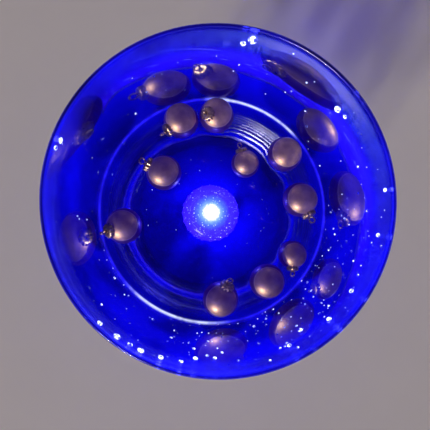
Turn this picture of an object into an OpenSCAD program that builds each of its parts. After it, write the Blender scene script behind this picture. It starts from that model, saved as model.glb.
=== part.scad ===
// Glass water bowl with a sunken twist lamp on its floor and ten baubles floating on the water.
// Millimetres and degrees. The origin is the middle of the foot, +Z is up, and a viewer who looks
// straight down into the bowl has +X to the right and +Y ahead.

/* [Bowl] */
// Diameter over the lip
rim_d = 132.6; // [115:0.2:160]
// Height from the table to the top of the lip
bowl_h = 126; // [110:1:160]
// Thickness of the glass at the lip
lip_t = 1.8; // [1.4:0.1:3]
// Thickness of the glass where the wall leaves the heel
wall_t = 2.6; // [2:0.1:4]
// Thickness of the glass floor
floor_t = 8; // [6:0.5:12]
// Lean of the wall from the upright
flare = 4.1; // [1:0.1:6]
// Width of the round heel between floor and wall
heel_w = 14; // [10:1:18]
// Height of the round heel above the floor
heel_h = 28; // [20:1:32]
// Width of the flat ring that the bowl stands on
foot_w = 8; // [4:0.5:14]
// Depth of the hollow under the foot
punt_h = 1.5; // [0.5:0.1:3]
// How far the rim of that hollow slopes in
punt_slope = 3; // [1:0.5:6]

/* [Mould rings] */
// Number of rings round the lower wall
ring_n = 8; // [5:1:9]
// Height of the lowest ring
ring_z = 13; // [11:0.5:16]
// Distance between rings
ring_pitch = 4.5; // [4:0.1:5.5]
// Radius of a ring's round section
ring_r = 1.4; // [1.1:0.1:1.7]
// How far a ring stands out from the wall
ring_out = 0.8; // [0.5:0.1:1]

/* [Water] */
// Depth of the water
water_h = 55; // [46:1:62]
// Film of air drawn between water and glass
film = 0.1; // [0.05:0.05:0.2]
// Room that the water leaves round the lamp
lamp_room = 0.3; // [0.2:0.1:0.6]
// Room that the water leaves round a bauble
float_room = 0.3; // [0.2:0.1:0.6]

/* [Lamp] */
// Diameter of the lamp without its grip ridges
lamp_d = 35; // [34:0.5:42]
// Height of the flange that the lamp stands on
flange_h = 3; // [2:0.5:5]
// Bevel round the foot of the flange
flange_bevel = 0.6; // [0.2:0.1:1]
// Thickness of the floor under the cells
pan_t = 1.6; // [1.2:0.1:3]
// Thickness of the clear cap
lens_t = 1.8; // [1.4:0.1:2.4]
// Running gap between cap and base
fit = 0.3; // [0.2:0.05:0.4]
// Room above the bulb under the dome
bulb_room = 1.5; // [1:0.1:4]
// Height of the dome's inside above its shoulder
dome_h = 7.5; // [6:0.5:9]
// Number of grip ridges on the cap
grip_n = 20; // [12:1:26]
// Radius of a grip ridge
grip_r = 0.8; // [0.5:0.1:1]
// How far a ridge stands out
grip_out = 0.5; // [0.3:0.1:0.7]
// How far from the cap's edge and shoulder the ridges end
grip_short = 0.8; // [0.4:0.1:2]

/* [Twist catch] */
// Number of lugs on the base
lug_n = 3; // [2:1:4]
// How far a lug stands out
lug_out = 0.8; // [0.5:0.1:1]
// Height of a lug
lug_h = 1.2; // [0.8:0.1:1.6]
// Lug's height above the flange
lug_lift = 3.4; // [2.8:0.1:4]
// Angle that a lug spans
lug_angle = 16; // [10:1:20]
// Play at each end of a lug's track
track_play = 1.5; // [1:0.5:3]
// Turn from on to off
twist = 40; // [30:1:50]

/* [Seal, cells and bulb] */
// Thickness of the seal ring
seal_d = 1.6; // [1.2:0.1:2]
// Room left round the seal
seal_room = 0.25; // [0.2:0.05:0.4]
// Diameter of a coin cell
cell_d = 20; // [18:0.1:20.5]
// Height of a coin cell
cell_h = 3.2; // [2.5:0.1:3.6]
// Height of a cell's stepped pole
pole_h = 0.6; // [0.4:0.1:0.9]
// Width of the step round that pole
pole_step = 1.1; // [0.6:0.1:2]
// Room round the cells in their pocket
cell_room = 0.3; // [0.2:0.05:0.4]
// Thickness of the contact strip
strip_t = 0.4; // [0.3:0.05:0.6]
// Width of the contact strip's arm
strip_w = 1; // [0.8:0.1:1.1]
// Diameter of the contact strip's pad
pad_d = 12; // [8:0.5:16]
// Thickness of the bulb's legs
leg_d = 0.5; // [0.4:0.05:0.6]
// Distance between the bulb's legs
leg_gap = 2.54; // [2:0.02:3]
// Length of the leg's foot that lies on the upper cell
foot_l = 5; // [3:0.5:7]
// Bearing of the leg that runs down beside the cells
leg_bearing = 90; // [60:5:120]
// Room round a leg in its channel
leg_room = 0.25; // [0.15:0.05:0.35]
// Thickness of the disc that carries the bulb
disc_t = 1.2; // [1:0.1:2]
// Width of the ledge under that disc
ledge_w = 1; // [0.7:0.1:1.4]
// Lip of the base above that disc
neck_over = 0.6; // [0.3:0.1:1.5]
// Diameter of the bulb
bulb_d = 5; // [4:0.1:5.4]
// Height of the bulb with its collar
bulb_h = 8.6; // [7:0.1:9.6]
// Height of the bulb's collar
collar_h = 1; // [0.6:0.1:1.4]
// How far the collar stands out
collar_out = 0.4; // [0.2:0.05:0.6]

/* [Baubles] */
// Diameter of the eight large baubles
ball_d = 18.5; // [16:0.1:19.5]
// Diameter of the two small baubles
small_d = 15; // [12:0.1:16]
// Wall of a bauble's hollow shell
shell_t = 0.8; // [0.6:0.1:1.2]
// Height of a large bauble's middle above the water
ride = 2.5; // [1.5:0.1:3.5]
// Least gap between a bauble and the glass
wall_gap = 0.5; // [0.3:0.1:1.5]
// Gap between the two baubles that lie side by side
pair_gap = 0.8; // [0.5:0.1:2]
// Bearing of the middle of that pair
pair_bearing = 99.5; // [95:0.5:104]

/* [Bauble caps, on a large bauble] */
// Radius of the neck under the cap
neck_r = 2.2; // [1.8:0.1:2.5]
// Height of the neck above the ball
neck_h = 1; // [0.6:0.1:1.05]
// Depth of the plug under the neck
plug_h = 2.4; // [2:0.1:4]
// Radius of the blind hole in the neck
bore_r = 1; // [0.95:0.05:1.3]
// Depth of the blind hole below the ball's surface
bore_h = 1.4; // [0.8:0.1:1.8]
// Radius of the crown cap
cap_r = 3.4; // [3:0.1:4]
// Height of the crown cap above the ball
cap_h = 1.6; // [1.6:0.1:2.4]
// How far the cap's skirt reaches down over the ball
skirt_h = 0.9; // [0.7:0.1:1.1]
// Sheet of the crown cap
cap_t = 0.4; // [0.3:0.05:0.5]
// Gap between the cap's skirt and the ball
cap_seat = 0.06; // [0.04:0.01:0.12]
// Number of flutes round the cap
flute_n = 12; // [8:1:14]
// Radius of a flute
flute_r = 0.45; // [0.3:0.05:0.5]
// Radius of the wire of the hanging loop
wire_r = 0.35; // [0.25:0.05:0.4]
// Radius of the loop to the middle of its wire
loop_r = 1.5; // [1.3:0.1:2]
// Distance of each of the loop's two legs from the middle
prong_x = 0.42; // [0.4:0.02:0.5]
// Gap between loop and cap
loop_seat = 0.05; // [0.03:0.01:0.1]

/* [Hidden] */
$fn = 72;

// Bowl: the inside is a straight leaning wall over a heel that is a stretch of an ellipse
rim_r = rim_d / 2;
lip_r = lip_t / 2;
lip_z = bowl_h - lip_r;
lean = tan(flare);
function wall_r(z) = rim_r - lip_t - (lip_z - z) * lean;
heel_end = atan2(heel_w, heel_h * lean);
heel_z = floor_t + heel_h * (1 - cos(heel_end));
floor_r = wall_r(heel_z) - heel_w * sin(heel_end);
foot_r = floor_r;
back_w = (wall_r(heel_z) + wall_t - foot_r) / sin(heel_end);
back_h = heel_z / (1 - cos(heel_end));
heel_steps = 14;
function outer_r(z) =
    z < heel_z ? foot_r + back_w * sin(acos(1 - z / back_h))
    : wall_r(heel_z) + wall_t + (rim_r - wall_r(heel_z) - wall_t) * (z - heel_z) / (lip_z - heel_z);

// Water and lamp heights
water_z = floor_t + water_h;
lamp_z = floor_t;
lamp_r = lamp_d / 2;
grip_reach = lamp_r + grip_out;
base_neck_r = lamp_r - lens_t - fit - lug_out;
pocket_r = cell_d / 2 + cell_room;
strip_z = lamp_z + pan_t;
cell_z = strip_z + strip_t;
cells_top = cell_z + 2 * cell_h;
disc_z = cells_top + leg_d + leg_room;
disc_r = pocket_r + ledge_w;
disc_top = disc_z + disc_t;
neck_top = disc_top + neck_over;
bulb_top = disc_top + bulb_h;
dome_in_top = bulb_top + bulb_room;
shoulder_z = dome_in_top - dome_h;
flange_z = lamp_z + flange_h;
cap_z = flange_z + fit;
lug_z = flange_z + lug_lift;
track_r = base_neck_r + lug_out + fit;
seal_r = seal_d / 2;
seal_mid_r = base_neck_r + seal_r + film;
channel_x = cell_d / 2 + leg_d / 2 + leg_room;
dome_steps = 12;

// Baubles: share of the free radius, bearing, heading of the cap, lift of the cap, roll of the loop, diameter
free_r = wall_r(water_z + ride) - ball_d / 2 - wall_gap;
pair_half = asin((ball_d + pair_gap) / 2 / free_r);
FLOATS = [
    [1, pair_bearing + pair_half, 221, 14, 55, ball_d],
    [1, pair_bearing - pair_half, 198, 55, 20, ball_d],
    [0.965, 37.8, 0, -90, 0, ball_d],
    [0.57, 55.3, 109, 14, 25, small_d],
    [0.93, 6.3, 296, 14, 0, ball_d],
    [0.935, -30.1, 265, 16, 40, small_d],
    [0.945, -53.7, 30, -90, 0, ball_d],
    [0.945, -85.8, 67, 30, 15, ball_d],
    [0.95, 191, 204, 42, 60, ball_d],
    [0.648, 144.4, 154, 16, 0, ball_d]
];
function float_d(i) = FLOATS[i][5];
function float_k(i) = float_d(i) / ball_d;
function float_z(i) = water_z + ride * float_k(i);
function float_r(i) = FLOATS[i][0] * (wall_r(float_z(i)) - float_d(i) / 2 - wall_gap);
function float_at(i) =
    [float_r(i) * cos(FLOATS[i][1]), float_r(i) * sin(FLOATS[i][1]), float_z(i)];
function cap_points_down(i) = FLOATS[i][3] < 0;
loop_z = cap_h + loop_seat + loop_r + wire_r;
loop_end = loop_z + loop_r + wire_r;

FLOAT_NAMES = ["01", "02", "03", "04", "05", "06", "07", "08", "09", "10"];
LAMP_NODES = [
    "lamp_base", "seal_ring", "battery_contact", "battery_lower", "battery_upper",
    "led_carrier", "led_bulb", "led_legs", "lamp_lens"
];

// Outline of the bowl's inside up to a height, drawn in by a gap
function inside(gap, top) = concat(
    [[0, floor_t + gap]],
    [for (i = [0 : heel_steps])
        let (a = heel_end * i / heel_steps)
        [floor_r + (heel_w - gap) * sin(a), floor_t + gap + (heel_h - gap) * (1 - cos(a))]],
    [[wall_r(top) - gap, top], [0, top]]
);

// Outline of the bowl's outside without its rings
function outside() = concat(
    [[0, 0]],
    [for (i = [0 : heel_steps])
        let (a = heel_end * i / heel_steps)
        [foot_r + back_w * sin(a), back_h * (1 - cos(a))]],
    [[rim_r, lip_z], [0, lip_z]]
);

module bowl_section() {
    difference() {
        union() {
            polygon(outside());
            for (i = [0 : ring_n - 1])
                let (z = ring_z + i * ring_pitch)
                translate([outer_r(z) + ring_out - ring_r, z]) circle(ring_r);
        }
        polygon(inside(0, lip_z));
        polygon([
            [0, 0],
            [foot_r - foot_w, 0],
            [foot_r - foot_w - punt_slope, punt_h],
            [0, punt_h]
        ]);
    }
    translate([rim_r - lip_r, lip_z]) circle(lip_r);
}

module glass_bowl() {
    color("royalblue", 0.45) rotate_extrude() bowl_section();
}

// Outline of the clear cap's dome with a half width, a height above the shoulder and the shoulder's height
function dome(half_w, rise) = [
    for (i = [0 : dome_steps])
        let (a = 90 * i / dome_steps)
        [half_w * cos(a), shoulder_z + rise * sin(a)]
];

module lamp_hollow() {
    reach = grip_reach + lamp_room;
    rotate_extrude() polygon(concat(
        [[0, lamp_z - lamp_room], [reach, lamp_z - lamp_room]],
        dome(reach, dome_h + lens_t + lamp_room)
    ));
}

// Room for one bauble in the water, open upwards so that the bauble lifts straight out
module float_hollow(i) {
    k = float_k(i);
    translate(float_at(i)) {
        sphere(d = float_d(i) + 2 * float_room);
        if (cap_points_down(i)) {
            depth = float_d(i) / 2 + loop_end * k + float_room;
            translate([0, 0, -depth]) cylinder(r = (cap_r + flute_r) * k + float_room, h = depth);
        }
    }
}

module water() {
    color("navy", 0.6) difference() {
        rotate_extrude() polygon(inside(film, water_z));
        lamp_hollow();
        for (i = [0 : len(FLOATS) - 1]) float_hollow(i);
    }
}

module lug() {
    rotate([0, 0, -lug_angle / 2]) rotate_extrude(angle = lug_angle)
        translate([base_neck_r - fit, lug_z]) square([lug_out + fit, lug_h]);
}

module lamp_base() {
    color("whitesmoke") difference() {
        union() {
            rotate_extrude() polygon([
                [0, lamp_z],
                [lamp_r - flange_bevel, lamp_z],
                [lamp_r, lamp_z + flange_bevel],
                [lamp_r, flange_z],
                [base_neck_r, flange_z],
                [base_neck_r, neck_top],
                [0, neck_top]
            ]);
            for (i = [0 : lug_n - 1]) rotate([0, 0, i * 360 / lug_n]) lug();
        }
        translate([0, 0, strip_z]) cylinder(r = pocket_r, h = neck_top);
        translate([0, 0, disc_z]) cylinder(r = disc_r + film, h = neck_top);
        rotate([0, 0, leg_bearing]) translate([channel_x, 0, strip_z])
            cylinder(r = leg_d / 2 + leg_room, h = neck_top);
    }
}

module seal_ring() {
    color("dimgray") rotate_extrude()
        translate([seal_mid_r, flange_z + seal_r]) circle(seal_r);
}

module battery_contact() {
    color("gold") translate([0, 0, strip_z]) rotate([0, 0, leg_bearing]) {
        cylinder(d = pad_d, h = strip_t);
        translate([0, -strip_w / 2, 0]) cube([channel_x, strip_w, strip_t]);
    }
}

module cell(z) {
    color("silver") translate([0, 0, z]) rotate_extrude() polygon([
        [0, 0],
        [cell_d / 2 - pole_step, 0],
        [cell_d / 2 - pole_step, pole_h],
        [cell_d / 2, pole_h],
        [cell_d / 2, cell_h],
        [0, cell_h]
    ]);
}

module battery_lower() {
    cell(cell_z);
}

module battery_upper() {
    cell(cell_z + cell_h);
}

leg_run_z = disc_z + leg_d / 2 + leg_room;

module led_carrier() {
    hole_r = leg_d / 2 + leg_room;
    color("white") rotate([0, 0, leg_bearing]) difference() {
        rotate([0, 0, -leg_bearing]) translate([0, 0, disc_z]) cylinder(r = disc_r, h = disc_t);
        for (side = [-1, 1])
            translate([side * leg_gap / 2, 0, disc_z - film]) cylinder(r = hole_r, h = disc_t + 2 * film);
        translate([leg_gap / 2, -hole_r, disc_z - film])
            cube([disc_r, 2 * hole_r, leg_run_z + hole_r - disc_z + film]);
    }
}

module led_bulb() {
    bulb_r = bulb_d / 2;
    color("aliceblue") translate([0, 0, disc_top]) rotate([0, 0, leg_bearing]) {
        difference() {
            cylinder(r = bulb_r + collar_out, h = collar_h);
            translate([bulb_r, -bulb_d, -film]) cube([bulb_d, 2 * bulb_d, collar_h + 2 * film]);
        }
        cylinder(r = bulb_r, h = bulb_h - bulb_r);
        translate([0, 0, bulb_h - bulb_r]) sphere(bulb_r);
    }
}

// Straight stretch of leg between two points that share two coordinates
module leg_run(from, to) {
    run = to - from;
    translate(from) {
        sphere(d = leg_d);
        if (run[2] != 0) mirror([0, 0, run[2] < 0 ? 1 : 0]) cylinder(d = leg_d, h = abs(run[2]));
        if (run[0] != 0) rotate([0, run[0] > 0 ? 90 : -90, 0]) cylinder(d = leg_d, h = abs(run[0]));
    }
}

module led_legs() {
    pin = leg_gap / 2;
    foot_z = cells_top + leg_d / 2;
    color("lightgray") rotate([0, 0, leg_bearing]) {
        leg_run([-pin, 0, foot_z], [-pin, 0, disc_top]);
        leg_run([-pin, 0, foot_z], [-pin - foot_l, 0, foot_z]);
        leg_run([pin, 0, leg_run_z], [pin, 0, disc_top]);
        leg_run([pin, 0, leg_run_z], [channel_x, 0, leg_run_z]);
        leg_run([channel_x, 0, leg_run_z], [channel_x, 0, cell_z]);
    }
}

// Bayonet track in the cap: a slot up from its edge and a level run that ends at a stop
module track() {
    slot_angle = lug_angle + 2 * track_play;
    slot_top = lug_z + lug_h + 2 * fit;
    rotate([0, 0, -twist - slot_angle / 2]) rotate_extrude(angle = slot_angle)
        translate([base_neck_r, cap_z - film]) square([lug_out + fit + film, slot_top - cap_z + film]);
    rotate([0, 0, -twist]) rotate_extrude(angle = twist + slot_angle / 2)
        translate([base_neck_r, lug_z - fit]) square([lug_out + fit, lug_h + 2 * fit]);
}

// Ridges round the cap's skirt, which end short of its edge and its shoulder
module grip_ridges() {
    low = cap_z + grip_short;
    high = shoulder_z - grip_short;
    difference() {
        for (i = [0 : grip_n - 1]) rotate([0, 0, i * 360 / grip_n])
            translate([grip_reach - grip_r, 0, low]) cylinder(r = grip_r, h = high - low);
        translate([0, 0, cap_z]) cylinder(r = lamp_r - film, h = shoulder_z - cap_z);
    }
}

module lamp_lens() {
    seal_top = flange_z + seal_d + seal_room;
    slide_r = base_neck_r + fit;
    color("lightsteelblue", 0.5) difference() {
        union() {
            rotate_extrude() polygon(concat(
                [[0, cap_z], [lamp_r, cap_z]],
                dome(lamp_r, dome_h + lens_t)
            ));
            grip_ridges();
        }
        rotate_extrude() polygon(concat(
            [
                [0, cap_z - film],
                [seal_mid_r + seal_r + seal_room, cap_z - film],
                [seal_mid_r + seal_r + seal_room, seal_top],
                [slide_r, seal_top],
                [slide_r, neck_top + fit]
            ],
            dome(track_r, dome_h)
        ));
        for (i = [0 : lug_n - 1]) rotate([0, 0, i * 360 / lug_n]) track();
    }
}

// Puts a bauble's piece, drawn about the ball's middle with its cap along +Z, in its place on the water
module afloat(i) {
    row = FLOATS[i];
    translate(float_at(i)) rotate([0, 90 - row[3], row[2]]) rotate([0, 0, row[4]]) children();
}

module ball(i) {
    r = float_d(i) / 2;
    k = float_k(i);
    color("peru") afloat(i) difference() {
        union() {
            difference() {
                sphere(r);
                sphere(r - shell_t);
            }
            translate([0, 0, r - plug_h * k]) cylinder(r = neck_r * k, h = (plug_h + neck_h) * k);
        }
        translate([0, 0, r - bore_h * k]) cylinder(r = bore_r * k, h = (bore_h + neck_h + film) * k);
    }
}

module ball_cap(i) {
    r = float_d(i) / 2;
    k = float_k(i);
    color("goldenrod") afloat(i) difference() {
        translate([0, 0, r - skirt_h * k]) {
            cylinder(r = cap_r * k, h = (skirt_h + cap_h) * k);
            for (j = [0 : flute_n - 1]) rotate([0, 0, j * 360 / flute_n])
                translate([cap_r * k, 0, 0]) cylinder(r = flute_r * k, h = (skirt_h + cap_h - cap_t) * k);
        }
        translate([0, 0, r - (skirt_h + film) * k])
            cylinder(r = (cap_r - cap_t) * k, h = (skirt_h + film + cap_h - cap_t) * k);
        translate([0, 0, r]) cylinder(r = bore_r * k, h = (cap_h + film) * k);
        sphere(r + cap_seat);
    }
}

module hang_loop(i) {
    r = float_d(i) / 2;
    k = float_k(i);
    join_z = loop_z - sqrt(loop_r * loop_r - prong_x * prong_x);
    prong_z = film - bore_h;
    color("darkgoldenrod") afloat(i) translate([0, 0, r]) scale(k) {
        translate([0, 0, loop_z]) rotate([0, 90, 0]) rotate_extrude() translate([loop_r, 0]) circle(wire_r);
        for (side = [-1, 1])
            translate([0, side * prong_x, prong_z]) cylinder(r = wire_r, h = join_z - prong_z);
    }
}

glass_bowl();
water();
lamp_base();
seal_ring();
battery_contact();
battery_lower();
battery_upper();
led_carrier();
led_bulb();
led_legs();
lamp_lens();
for (i = [0 : len(FLOATS) - 1]) {
    ball(i);
    ball_cap(i);
    hang_loop(i);
}
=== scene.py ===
"""Looks of a lit water bowl: blue glass, water, a sunken lamp and ten floating baubles.

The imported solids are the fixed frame. Each piece is drawn in that frame, rides on one of its
bodies and says which solids it stands for. Sizes are in millimetres until a mesh is made. Meshes,
and the places that a finish names, are in metres.
"""

import logging
import math
from dataclasses import dataclass, field
from enum import Enum
from typing import Any, Callable, Iterable, Sequence, Union

import bmesh
import bpy
from mathutils import Matrix, Vector
from mathutils.geometry import delaunay_2d_cdt


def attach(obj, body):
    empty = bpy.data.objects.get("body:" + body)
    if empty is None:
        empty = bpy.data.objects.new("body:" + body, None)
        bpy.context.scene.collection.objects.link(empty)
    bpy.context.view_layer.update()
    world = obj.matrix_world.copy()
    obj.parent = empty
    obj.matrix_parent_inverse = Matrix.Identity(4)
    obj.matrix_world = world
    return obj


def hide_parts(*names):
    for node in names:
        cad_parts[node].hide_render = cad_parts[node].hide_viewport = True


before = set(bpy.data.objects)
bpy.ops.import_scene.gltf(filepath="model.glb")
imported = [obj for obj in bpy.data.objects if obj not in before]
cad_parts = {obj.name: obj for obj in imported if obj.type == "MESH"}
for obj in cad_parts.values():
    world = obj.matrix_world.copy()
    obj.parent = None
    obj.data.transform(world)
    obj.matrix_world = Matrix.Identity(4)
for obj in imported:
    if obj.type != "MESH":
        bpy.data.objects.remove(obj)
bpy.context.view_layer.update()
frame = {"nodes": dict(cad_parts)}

MM = 0.001
PER_SQUARE_CM = 1e4
SEAM_GAP = 1e-6
DOUBLE_GAP = 1e-7
FULL_TURN = 2 * math.pi
WATER_IOR = 1.333
BLACK = (0.0, 0.0, 0.0)
WHITE = (1.0, 1.0, 1.0)
log = logging.getLogger("water_bowl")

Colour = tuple[float, float, float]
Point = tuple[float, float, float]
Ring = tuple[float, float, float]
Span = tuple[float, float]
Stops = Sequence[tuple[float, Colour]]
Key = Union[str, int]


class Wire:
    """One output socket. Sums on it add Math nodes to its tree."""

    def __init__(self, book: "NodeBook", socket: bpy.types.NodeSocket) -> None:
        """Holds a socket and the book that wires it."""
        self.book, self.socket = book, socket

    def __add__(self, other: Any) -> "Wire":
        """Adds."""
        return self.book.math("ADD", self, other)

    __radd__ = __add__

    def __mul__(self, other: Any) -> "Wire":
        """Multiplies."""
        return self.book.math("MULTIPLY", self, other)

    __rmul__ = __mul__

    def __sub__(self, other: Any) -> "Wire":
        """Takes the other away."""
        return self.book.math("SUBTRACT", self, other)

    def __rsub__(self, other: Any) -> "Wire":
        """Takes this away from the other."""
        return self.book.math("SUBTRACT", other, self)

    def __truediv__(self, other: Any) -> "Wire":
        """Divides."""
        return self.book.math("DIVIDE", self, other)

    def __pow__(self, other: Any) -> "Wire":
        """Raises to a power."""
        return self.book.math("POWER", self, other)


class Made:
    """A node that was added, whose outputs are read by name or place."""

    def __init__(self, book: "NodeBook", node: bpy.types.Node) -> None:
        """Holds the node."""
        self.book, self.node = book, node

    def __getitem__(self, key: Key) -> Wire:
        """Gives the wire of one output."""
        return Wire(self.book, self.book.find(self.node.outputs, key))


class NodeBook:
    """Writes nodes into one shader or geometry tree."""

    def __init__(self, tree: bpy.types.NodeTree) -> None:
        """Holds the tree."""
        self.tree = tree

    @staticmethod
    def find(sockets: Iterable[bpy.types.NodeSocket], key: Key) -> bpy.types.NodeSocket:
        """Finds a socket.

        Args:
            sockets: A node's inputs or outputs.
            key: The socket's name, or its place.

        Returns:
            The first live socket of that name, or the socket in that place.
        """
        if isinstance(key, int):
            return sockets[key]
        return next(s for s in sockets if s.name == key and s.enabled)

    def node(self, kind: str, settings: dict[str, Any] | None = None,
             inputs: dict[Key, Any] | None = None) -> Made:
        """Adds a node.

        Args:
            kind: The node's type.
            settings: Its own properties, set first. "stops" fills a ramp.
            inputs: Wires or values for its sockets.

        Returns:
            The node, for reading its outputs.
        """
        node = self.tree.nodes.new(kind)
        for name, value in (settings or {}).items():
            if name == "stops":
                self._fill_ramp(node.color_ramp, value)
            else:
                setattr(node, name, value)
        for key, value in (inputs or {}).items():
            socket = self.find(node.inputs, key)
            if isinstance(value, Wire):
                self.tree.links.new(value.socket, socket)
            else:
                socket.default_value = value
        return Made(self, node)

    @staticmethod
    def _fill_ramp(ramp: bpy.types.ColorRamp, stops: Stops) -> None:
        """Writes a ramp's stops in order.

        Args:
            ramp: The ramp.
            stops: Its places and colours.
        """
        for i, (place, colour) in enumerate(stops):
            element = ramp.elements[i] if i < len(ramp.elements) else ramp.elements.new(place)
            element.position, element.color = place, (*colour, 1)

    def math(self, operation: str, *terms: Any) -> Wire:
        """Adds a Math node on wires or numbers and gives its result."""
        return self.node("ShaderNodeMath", {"operation": operation}, dict(enumerate(terms)))[0]

    def axes(self, vector: Wire) -> tuple[Wire, Wire, Wire]:
        """Splits a vector into x, y and z."""
        split = self.node("ShaderNodeSeparateXYZ", {}, {"Vector": vector})
        return split["X"], split["Y"], split["Z"]

    def vector(self, x: Wire, y: Wire, z: Wire) -> Wire:
        """Joins x, y and z into a vector."""
        return self.node("ShaderNodeCombineXYZ", {}, {"X": x, "Y": y, "Z": z})["Vector"]

    def spot(self) -> Wire:
        """Gives Object coordinates."""
        return self.node("ShaderNodeTexCoord")["Object"]

    def attribute(self, name: str) -> Wire:
        """Gives a value that a mesh holds at its points."""
        return self.node("ShaderNodeAttribute", {"attribute_name": name})["Fac"]

    def stretch(self, spot: Wire, scale: Point) -> Wire:
        """Scales coordinates by a vector."""
        return self.node("ShaderNodeMapping", {}, {"Vector": spot, "Scale": scale})["Vector"]

    def noise(self, spot: Wire, scale: float, detail: float = 3.0, rough: float = 0.55) -> Wire:
        """Gives a noise pattern from 0 to 1, at a scale per metre."""
        return self.node("ShaderNodeTexNoise", {}, {
            "Vector": spot, "Scale": scale, "Detail": detail, "Roughness": rough})[0]

    def cells(self, spot: Wire, scale: float) -> Wire:
        """Gives the distance to the nearest of scattered points."""
        return self.node("ShaderNodeTexVoronoi", {}, {"Vector": spot, "Scale": scale})["Distance"]

    def step(self, value: Wire, span: Span, start: float = 0.0, end: float = 1.0) -> Wire:
        """Eases from start to end while a value crosses a span."""
        return self.node("ShaderNodeMapRange", {"interpolation_type": "SMOOTHSTEP"}, {
            "Value": value, "From Min": span[0], "From Max": span[1],
            "To Min": start, "To Max": end})[0]

    def fade(self, value: Wire, span: Span, end: float = 0.0) -> Wire:
        """Eases from 1 to end while a value crosses a span."""
        return self.step(value, span, 1.0, end)

    def mix(self, share: Any, first: Any, second: Any) -> Wire:
        """Mixes two colours, each a wire or a colour, with a share of the second."""
        whole = [c if isinstance(c, Wire) else (*c, 1.0) for c in (first, second)]
        return self.node("ShaderNodeMix", {"data_type": "RGBA"}, {
            "Factor": share, "A": whole[0], "B": whole[1]})["Result"]

    def ramp(self, value: Wire, stops: Stops) -> Wire:
        """Turns a value into a colour along stops."""
        return self.node("ShaderNodeValToRGB", {"stops": stops}, {"Fac": value})["Color"]

    def bump(self, height: Wire, depth: float) -> Wire:
        """Turns a height pattern of a given depth in metres into a normal."""
        return self.node("ShaderNodeBump", {}, {"Height": height, "Distance": depth})["Normal"]

    def surface(self, inputs: dict[str, Any]) -> Wire:
        """Adds a Principled shader and gives the wire of its surface."""
        return self.node("ShaderNodeBsdfPrincipled", {}, inputs)[0]


def off_axis(x: Wire, y: Wire) -> Wire:
    """Gives the distance from the Z axis."""
    return (x * x + y * y) ** 0.5


PAINTED: dict[str, bpy.types.Material] = {}


@dataclass(frozen=True)
class Finish:
    """A finish: one material, painted on first use."""

    name: str

    def paint(self, book: NodeBook) -> Wire:
        """Writes the finish's nodes and gives the wire of its surface."""
        raise NotImplementedError

    def material(self) -> bpy.types.Material:
        """Gives the finish's material, made on first use.

        Returns:
            The material.
        """
        if self.name not in PAINTED:
            made = PAINTED[self.name] = bpy.data.materials.new(self.name)
            made.use_nodes = True
            made.node_tree.nodes.clear()
            book = NodeBook(made.node_tree)
            book.node("ShaderNodeOutputMaterial", {}, {"Surface": self.paint(book)})
        return PAINTED[self.name]


@dataclass(frozen=True)
class ClearFinish(Finish):
    """A see-through finish that lets the lamps' own rays pass with a light tint."""

    lamp_tint: Colour = (0.90, 0.90, 0.94)

    def pass_lamps(self, book: NodeBook, surface: Wire) -> Wire:
        """Lets rays to the lamps through the surface.

        Args:
            book: The book of the material's tree.
            surface: The wire of the glass shader.

        Returns:
            The wire of the mixed shader.
        """
        ray = book.node("ShaderNodeLightPath")["Is Shadow Ray"]
        clear = book.node("ShaderNodeBsdfTransparent", {}, {"Color": (*self.lamp_tint, 1)})[0]
        return book.node("ShaderNodeMixShader", {}, {0: ray, 1: surface, 2: clear})[0]


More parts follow.
